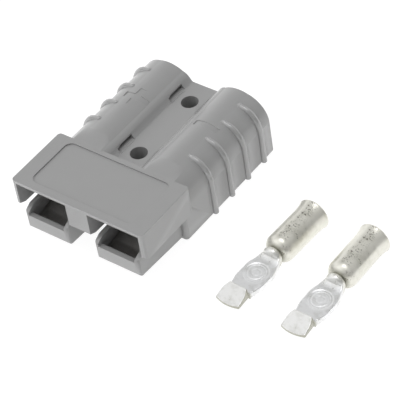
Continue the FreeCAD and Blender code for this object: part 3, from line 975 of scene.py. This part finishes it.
@dataclass
class GripRibs:
    """The rounded grip ribs on both barrels, repeated along the housing by Geometry Nodes."""

    finish: Material
    sizes: RibSizes = field(default_factory=RibSizes)

    def path(self) -> list[Triple]:
        """Centre line of the last rib, from its foot over the shoulder to its start at the crease.

        Returns:
            The points in metres.
        """
        s = self.sizes
        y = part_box("housing")[1].y / MM - s.last_to_end
        low = s.foot_z + s.foot_height
        high = s.shoulder_axis[1]
        count = s.straight_steps
        points = [(s.side_x - s.sink, low + (high - low) * i / count) for i in range(count)]
        reach = s.side_x - s.shoulder_axis[0]
        for i in range(s.bend_steps + 1):
            turn = s.start_turn * i / s.bend_steps
            rise = smooth_step((turn - s.rise_turn) / (s.start_turn - s.rise_turn))
            radius = reach - s.sink - (s.start_sink - s.sink) * rise
            angle = math.radians(turn)
            points.append((s.shoulder_axis[0] + radius * math.cos(angle), high + radius * math.sin(angle)))
        return [(x * MM, y * MM, z * MM) for x, z in points]

    def tree(self) -> bpy.types.NodeTree:
        """Build the node tree that sweeps one rib, repeats it and mirrors the row.

        Returns:
            The tree.
        """
        tree = bpy.data.node_groups.new("grip_ribs", "GeometryNodeTree")
        face = tree.interface
        face.new_socket("Geometry", in_out="INPUT", socket_type="NodeSocketGeometry")
        for name, kind in (("Count", "Int"), ("Step", "Vector"), ("Radius", "Float"), ("Foot", "Vector"),
                           ("Foot Shape", "Vector"), ("Start", "Vector"), ("Around", "Int"),
                           ("Rings", "Int"), ("Finish", "Material")):
            face.new_socket(name, in_out="INPUT", socket_type="NodeSocket" + kind)
        face.new_socket("Geometry", in_out="OUTPUT", socket_type="NodeSocketGeometry")

        def add(kind: str, **values: object) -> Socket:
            """Add a node.

            Args:
                kind: The node's type name without the GeometryNode prefix.
                **values: Its inputs, each a value, a socket or a list of sockets.

            Returns:
                The node's first output.
            """
            node = tree.nodes.new("GeometryNode" + kind)
            for key, value in values.items():
                target = node.inputs[key.replace("_", " ")]
                if isinstance(value, (Socket, list)):
                    for source in value if isinstance(value, list) else [value]:
                        tree.links.new(source, target)
                else:
                    target.default_value = value
            return node.outputs[0]

        given = tree.nodes.new("NodeGroupInput").outputs
        curve = add("MeshToCurve", Mesh=given["Geometry"])
        ring = add("CurvePrimitiveCircle", Resolution=given["Around"], Radius=given["Radius"])
        bar = add("CurveToMesh", Curve=curve, Profile_Curve=ring, Fill_Caps=True)
        ball = add("MeshUVSphere", Segments=given["Around"], Rings=given["Rings"], Radius=given["Radius"])
        foot = add("Transform", Geometry=ball, Translation=given["Foot"], Scale=given["Foot Shape"])
        start = add("Transform", Geometry=ball, Translation=given["Start"])
        rib = add("JoinGeometry", Geometry=[bar, foot, start])
        row = add("MeshLine", Count=given["Count"], Offset=given["Step"])
        ribs = add("RealizeInstances", Geometry=add("InstanceOnPoints", Points=row, Instance=rib))
        mirrored = add("FlipFaces", Mesh=add("Transform", Geometry=ribs, Scale=(-1, 1, 1)))
        whole = add("RealizeInstances", Geometry=add("JoinGeometry", Geometry=[ribs, mirrored]))
        painted = add("SetMaterial", Geometry=whole, Material=given["Finish"])
        tree.links.new(painted, tree.nodes.new("NodeGroupOutput").inputs["Geometry"])
        return tree

    def build(self) -> Piece:
        """Build the ribs' piece.

        Returns:
            The finished piece.
        """
        s = self.sizes
        points = self.path()
        mesh = bpy.data.meshes.new("grip_ribs")
        mesh.from_pydata(points, [(i, i + 1) for i in range(len(points) - 1)], [])
        piece = add_object("grip_ribs", mesh)
        change = piece.modifiers.new("repeat", "NODES")
        change.node_group = self.tree()
        values = {"Count": s.count, "Step": (0.0, -s.pitch * MM, 0.0), "Radius": s.radius * MM,
                  "Foot": points[0], "Foot Shape": (1.0, 1.0, s.foot_height / s.radius),
                  "Start": points[-1], "Around": s.around, "Rings": s.ball_rings,
                  "Finish": self.finish}
        for item in change.node_group.interface.items_tree:
            if item.in_out == "INPUT" and item.name in values:
                change[item.identifier] = values[item.name]
        bake_modifiers(piece)
        shade_by_angle(piece.data, SHARP_ANGLE)
        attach(piece, BODY)
        return piece


@dataclass
class LeafSprings:
    """The two leaf springs on the tray floors."""

    finish: RolledSteel

    def dress(self) -> list[Piece]:
        """Give both springs their steel.

        Returns:
            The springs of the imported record.
        """
        material = self.finish.material()
        springs = [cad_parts["contact_spring_" + side.name.lower()] for side in Side]
        for spring in springs:
            spring.data.materials.clear()
            spring.data.materials.append(material)
        return springs


@dataclass(frozen=True)
class ContactSizes:
    """Sizes of a crimp contact in millimetres, its tip at the origin and its barrel towards +Y."""

    length: float = 31.6
    barrel_radius: float = 3.5
    barrel_length: float = 14.5
    wall: float = 0.9
    flare: float = 0.4
    flare_length: float = 3.6
    flare_steps: int = 12
    rim_round: float = 0.35
    inner_rim_round: float = 0.15
    nose_round: float = 2.3
    bore_end: float = 2.6
    bore_round: float = 0.5
    neck_length: float = 1.6
    neck_base: float = 1.75
    neck_swell: float = 0.6
    neck_lap: float = 0.08
    neck_sink: float = 0.1
    neck_bevel: float = 0.3
    thickness: float = 1.5
    tongue_round: float = 0.3
    pad_round: float = 0.12
    tongue_top: float = 3.95
    tongue_start: float = 6.2
    tongue_half: float = 3.1
    leaf: tuple[Pair, ...] = ((8.2, 3.5), (11.6, 3.55), (14.0, 3.0), (15.9, 2.3), (17.0, 1.9))
    ramp_start: float = 13.9
    ramp_rise: float = 0.9
    root_half: float = 2.75
    root_place: float = 5.0
    ridge_place: float = 4.5
    ridge_half: float = 2.2
    ridge_rise: float = 1.55
    tip_rise: float = -0.15
    side_bow: float = 0.42
    tip_half: float = 3.07
    tip_corner: float = 0.55
    side_lean: float = 0.36
    under_rise: float = 0.85
    bend_length: float = 0.8
    step_length: float = 0.3
    ring_place: float = 10.6
    rings: tuple[Pair, ...] = ((2.65, 0.11), (2.1, 0.10), (0.95, 0.07))
    ring_width: float = 0.34
    dish_depth: float = 0.05
    dish_edge: float = 0.2
    root_drop: float = 0.4
    lean_end: float = 0.6
    edge_fade: float = 1.5
    edge_steps: int = 4
    edge_of_height: float = 0.45
    edge_of_half: float = 0.4
    neck_steps: int = 14
    nose_steps: int = 12
    rim_steps: int = 6
    inner_rim_steps: int = 3
    bore_steps: int = 4
    across: int = 44
    around: int = 96

    @property
    def axis(self) -> float:
        """Height of the barrel's axis above the floor."""
        return self.barrel_radius + self.flare

    @property
    def nose(self) -> float:
        """Where the barrel begins."""
        return self.length - self.barrel_length

    @property
    def ridge(self) -> float:
        """Height of the pad's ridge."""
        return self.tongue_top + self.ridge_rise


@dataclass
class CrimpContact:
    """One loose crimp contact: wedge-shaped tip pad, leaf-shaped tongue, neck and open crimp barrel."""

    side: Side
    tip: Pair
    turn: float
    sizes: ContactSizes = field(default_factory=ContactSizes)

    def barrel_profile(self) -> list[Pair]:
        """Profile of neck and barrel as places along Y and radii.

        Returns:
            The profile, from the neck's front around the rim to the bore's end.
        """
        s = self.sizes
        neck_front = s.nose - s.neck_length
        crease = s.nose + s.neck_lap
        steps = s.neck_steps
        swell = [(neck_front + (crease - neck_front) * i / steps,
                  s.neck_base + s.neck_swell * math.sqrt(1 - (2 * i / steps - 1) ** 2))
                 for i in range(steps + 1)]
        nose_centre = (s.nose + s.nose_round, s.barrel_radius - s.nose_round)
        lift = math.degrees(math.asin((s.neck_base + s.neck_sink - nose_centre[1]) / s.nose_round))
        outer_nose = circle_points(nose_centre, s.nose_round, 180 - lift, 90, s.nose_steps)
        flare_start = s.length - s.flare_length
        rim = s.rim_round
        outer = []
        inner = []
        for i in range(s.flare_steps + 1):
            y = flare_start + (s.flare_length - rim) * i / s.flare_steps
            grow = s.flare * ((y - flare_start) / s.flare_length) ** 2
            outer.append((y, s.barrel_radius + grow))
            inner.append((y, s.barrel_radius - s.wall + grow))
        inner_rim = inner[-1][1]
        edge = circle_points((s.length - rim, s.axis - rim), rim, 90, 0, s.rim_steps)
        small = s.inner_rim_round
        edge += circle_points((s.length - small, inner_rim + small), small, 0, -90, s.inner_rim_steps)
        bore_radius = s.barrel_radius - s.wall
        bottom = s.nose + s.bore_end
        end_centre = (bottom + s.bore_round, bore_radius - s.bore_round)
        end = circle_points(end_centre, s.bore_round, 90, 180, s.bore_steps)
        front = [(neck_front, 0.0), (neck_front, s.neck_base - s.neck_bevel)]
        return front + swell + outer_nose[1:] + outer[1:-1] + edge + inner[::-1] + end + [(bottom, 0.0)]

    def plan_half(self, y: float) -> float:
        """Half the width of the strap seen from above.

        Args:
            y: Place along the contact.

        Returns:
            Half the width in millimetres.
        """
        s = self.sizes
        if y < s.tip_corner:
            radius = (s.tip_half ** 2 + s.tip_corner ** 2) / (2 * s.tip_corner)
            return math.sqrt(radius ** 2 - (radius - y) ** 2)
        if y < s.root_place:
            share = (y - s.tip_corner) / (s.root_place - s.tip_corner)
            return s.tip_half + (s.root_half - s.tip_half) * share
        if y < s.tongue_start:
            share = smooth_step((y - s.root_place) / (s.tongue_start - s.root_place))
            return s.root_half + (s.tongue_half - s.root_half) * share
        return smooth_line(((s.tongue_start, s.tongue_half), *s.leaf), y)

    def strap_stations(self) -> list[float]:
        """Places of the strap's cross-sections, closer together at the tip and at the ridge.

        Returns:
            The places along Y.
        """
        s = self.sizes
        # Where each stretch ends, with its number of steps
        ends = ((0.3, 5), (s.tip_corner, 4), (s.ridge_place - 0.4, 20), (s.ridge_place + 0.7, 30),
                (s.tongue_start, 8), (s.nose - 0.4, 90), (s.nose - 0.3, 1))
        places = [0.02]
        for end, count in ends:
            start = places[-1]
            places.extend(start + (end - start) * (i + 1) / count for i in range(count))
        return places

    def strap_loops(self) -> list[list[Triple]]:
        """Cross-sections of the strap from the tip to inside the neck.

        Returns:
            Closed loops of points in millimetres.
        """
        s = self.sizes
        taper = (s.tip_half - s.ridge_half) / (s.ridge_place - s.tip_corner)
        taper -= s.side_lean * (s.ridge_rise - s.tip_rise) / s.ridge_place
        loops = []
        for y in self.strap_stations():
            plan = self.plan_half(y)
            wedge = s.tongue_top + s.tip_rise + (s.ridge_rise - s.tip_rise) * y / s.ridge_place
            step = smooth_step((y - s.ridge_place) / s.step_length)
            ramp = smooth_step((y - s.ramp_start) / (s.nose - s.ramp_start))
            bend = smooth_step((y - s.ridge_place - s.step_length + s.bend_length) / s.bend_length)
            top = min(wedge, s.ridge) * (1 - step) + s.tongue_top * step + s.ramp_rise * ramp
            bottom = s.tongue_top - s.thickness + s.under_rise * (1 - bend) - s.root_drop * ramp
            top_half = s.ridge_half + taper * (s.ridge_place - y) + s.side_lean * (s.ridge - top)
            top_half += s.side_bow * math.sin(math.pi * min(y / s.ridge_place, 1.0))
            top_half = min(plan, top_half) if y < s.tongue_start - s.lean_end else plan
            rounding = smooth_step((y - s.ridge_place) / s.edge_fade)
            edge = s.pad_round + (s.tongue_round - s.pad_round) * rounding
            edge = min(edge, (top - bottom) * s.edge_of_height, top_half * s.edge_of_half)
            loops.append(self.section(y, top_half, plan, top, bottom, edge))
        return loops

    def section(self, y: float, top_half: float, under_half: float, top: float, bottom: float,
                edge: float) -> list[Triple]:
        """One cross-section of the strap, with the struck rings sunk into its top.

        Args:
            y: Place along the contact.
            top_half: Half the width at the top.
            under_half: Half the width at the underside.
            top: Height of the top face.
            bottom: Height of the underside.
            edge: Radius of the rounded edges.

        Returns:
            The loop of points.
        """
        s = self.sizes
        loop = []
        for i in range(s.across + 1):
            x = (top_half - edge) * (2 * i / s.across - 1)
            distance = math.hypot(x, y - s.ring_place)
            beyond = (distance - s.rings[0][0] + s.dish_edge) / s.dish_edge
            sink = s.dish_depth * (1 - smooth_step(beyond))
            for radius, depth in s.rings:
                sink += depth * math.exp(-((distance - radius) / (s.ring_width / 2)) ** 2)
            loop.append((x, y, top - sink))
        right = circle_points((top_half - edge, top - edge), edge, 90, 0, s.edge_steps)[1:]
        right += circle_points((under_half - edge, bottom + edge), edge, 0, -90, s.edge_steps)
        left = [(-x, z) for x, z in reversed(right)]
        under = [((under_half - edge) * (1 - 2 * i / s.across), bottom) for i in range(1, s.across)]
        return loop + [(x, y, z) for x, z in right + under + left]

    def build(self) -> Piece:
        """Build the contact's piece.

        Returns:
            The finished piece.
        """
        s = self.sizes
        tag = self.side.name.lower()
        barrel = revolved(self.barrel_profile(), s.axis, s.around, "crimp_barrel_" + tag)
        strap = lofted(self.strap_loops(), "strap_" + tag)
        for mesh in (barrel, strap):
            face_outward(mesh)
        piece = add_object("crimp_contact_" + tag, barrel)
        combine(piece, add_object("strap_" + tag, strap), Joining.ADD)
        place = Matrix.Translation((self.tip[0] * MM, self.tip[1] * MM, 0))
        turn = Matrix.Rotation(-math.radians(self.turn), 4, "Z")
        piece.data.transform(place @ turn @ Matrix.Scale(MM, 4))
        shade_by_angle(piece.data, SHARP_ANGLE)
        finish = SilverPlate("silver_plate_" + tag, self.tip, self.turn, s.axis, s.nose, s.ridge_place)
        piece.data.materials.append(finish.material())
        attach(piece, BODY)
        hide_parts("contact_" + tag)
        return piece


@dataclass(frozen=True)
class SoftPanel:
    """A soft white panel of the surroundings, by direction in degrees, spread and brightness."""

    azimuth: float
    elevation: float
    spread: float
    strength: float

    def direction(self) -> Triple:
        """Unit direction in which the panel stands."""
        a, e = math.radians(self.azimuth), math.radians(self.elevation)
        return math.cos(e) * math.cos(a), math.cos(e) * math.sin(a), math.sin(e)


@dataclass
class Studio:
    """Camera, white floor and soft surroundings of the photograph."""

    yaw: float = 0.751
    pitch: float = 0.763
    roll: float = -0.171
    lens: float = 193.5045
    sensor: float = 36.0
    clip: Pair = (0.01, 100.0)
    eye: Vector = field(default_factory=lambda: Vector((249.9, -260.3, 333.5)))
    floor_size: float = 3000.0
    floor_depth: float = 0.02
    floor_albedo: float = 0.9
    floor_white: float = 0.93
    floor_shadow: float = 0.15
    floor_bounce: float = 0.55
    footprint_centre: Pair = (0.0, -2.0)
    footprint_half: Pair = (6.0, 12.0)
    footprint_fade: float = 6.0
    surroundings: float = 0.1
    panels: tuple[SoftPanel, ...] = (
        SoftPanel(0, 87, 9.0, 8.0),
        SoftPanel(235, 42, 30.0, 1.6),
        SoftPanel(84, 12, 26.0, 1.6),
        SoftPanel(160, 10, 26.0, 1.4),
        SoftPanel(0, 55, 21.0, 0.5),
    )

    def camera(self) -> None:
        """Make the camera."""
        data = bpy.data.cameras.new("camera")
        data.lens = self.lens
        data.sensor_width = self.sensor
        data.clip_start, data.clip_end = self.clip
        camera = add_object("camera", data)
        turn = Matrix.Rotation(self.yaw, 4, "Z") @ Matrix.Rotation(math.pi / 2 - self.pitch, 4, "X")
        turn @= Matrix.Rotation(self.roll, 4, "Z")
        camera.matrix_world = Matrix.Translation(self.eye * MM) @ turn
        bpy.context.scene.camera = camera

    def bounce(self, book: NodeBook) -> Socket:
        """Make the strength of the light that the floor sends up, which fades out under the connector.

        Args:
            book: The floor material's nodes.

        Returns:
            The strength.
        """
        def vector(operation: str, *values: object) -> Socket:
            """Add a calculation with vectors."""
            return book.calculate(operation, *values, operands=Operands.VECTORS)

        x, y = self.footprint_centre
        half_x, half_y = self.footprint_half
        centred = vector("SUBTRACT", book.add("TexCoord").outputs["Object"], (x * MM, y * MM, 0.0))
        outside = vector("SUBTRACT", vector("ABSOLUTE", centred), (half_x * MM, half_y * MM, 1.0))
        distance = vector("LENGTH", vector("MAXIMUM", outside))
        return book.fade(distance, (0.0, self.footprint_fade * MM), (0.0, self.floor_bounce),
                         Easing.EVEN)

    def floor(self) -> None:
        """Make the white floor, which shows as near white to the camera and keeps a faint shadow."""
        half = self.floor_size * MM / 2
        mesh = bpy.data.meshes.new("white_floor")
        low = -self.floor_depth * MM
        points = [(x * half, y * half, low) for x, y in ((-1, -1), (1, -1), (1, 1), (-1, 1))]
        mesh.from_pydata(points, [], [(0, 1, 2, 3)])
        floor = add_object("white_floor", mesh)
        material = bpy.data.materials.new("white_floor")
        book = NodeBook(material)
        mix = book.add("MixShader", in_Fac=book.add("LightPath").outputs["Is Camera Ray"])
        looks = ((self.floor_albedo, self.bounce(book)), (self.floor_shadow, self.floor_white))
        for target, (albedo, strength) in zip(mix.inputs[1:], looks):
            matte = book.add("BsdfDiffuse", in_Color=(albedo, albedo, albedo, 1))
            shine = book.add("Emission", in_Strength=strength)
            both = book.add("AddShader")
            book.put(both.inputs[0], matte.outputs["BSDF"])
            book.put(both.inputs[1], shine.outputs["Emission"])
            book.put(target, both.outputs["Shader"])
        book.add("OutputMaterial", in_Surface=mix.outputs["Shader"])
        mesh.materials.append(material)

    def world(self) -> None:
        """Set the soft surroundings: an even base with a few wide white panels, dark behind the camera."""
        world = bpy.data.worlds.new("surroundings")
        book = NodeBook(world)
        place = book.add("TexCoord").outputs["Generated"]
        light = self.surroundings
        for panel in self.panels:
            sharpness = HALVING / (1 - math.cos(math.radians(panel.spread)))
            facing = book.calculate("DOT_PRODUCT", place, panel.direction(), operands=Operands.VECTORS)
            fall = book.calculate("MULTIPLY_ADD", facing, sharpness, -sharpness)
            light = book.calculate("MULTIPLY_ADD", book.calculate("EXPONENT", fall),
                                   panel.strength, light)
        background = book.add("Background", in_Color=(1, 1, 1, 1), in_Strength=light)
        book.add("OutputWorld", in_Surface=background.outputs["Background"])
        bpy.context.scene.world = world

    def build(self) -> None:
        """Set up the whole studio."""
        self.camera()
        self.floor()
        self.world()
        bpy.context.scene.view_settings.view_transform = "Standard"


def report(piece: Piece) -> None:
    """Log a piece's name and its number of faces."""
    LOG.info("%s: %d faces", piece.name, len(piece.data.polygons))


def main() -> None:
    """Build the connector's looks in order."""
    logging.basicConfig(level=logging.INFO, format="%(name)s: %(message)s")
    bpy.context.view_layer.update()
    report(Housing(MouldedPlastic().material()).build())
    rubbed = MouldedPlastic("rubbed_grey_plastic", roughness_span=(0.08, 0.10), specular=1.0)
    report(GripRibs(rubbed.material()).build())
    for spring in LeafSprings(RolledSteel()).dress():
        report(spring)
    report(CrimpContact(Side.LEFT, LEFT_TIP, LEFT_TURN).build())
    report(CrimpContact(Side.RIGHT, RIGHT_TIP, RIGHT_TURN).build())
    Studio().build()


if __name__ == "__main__":
    main()
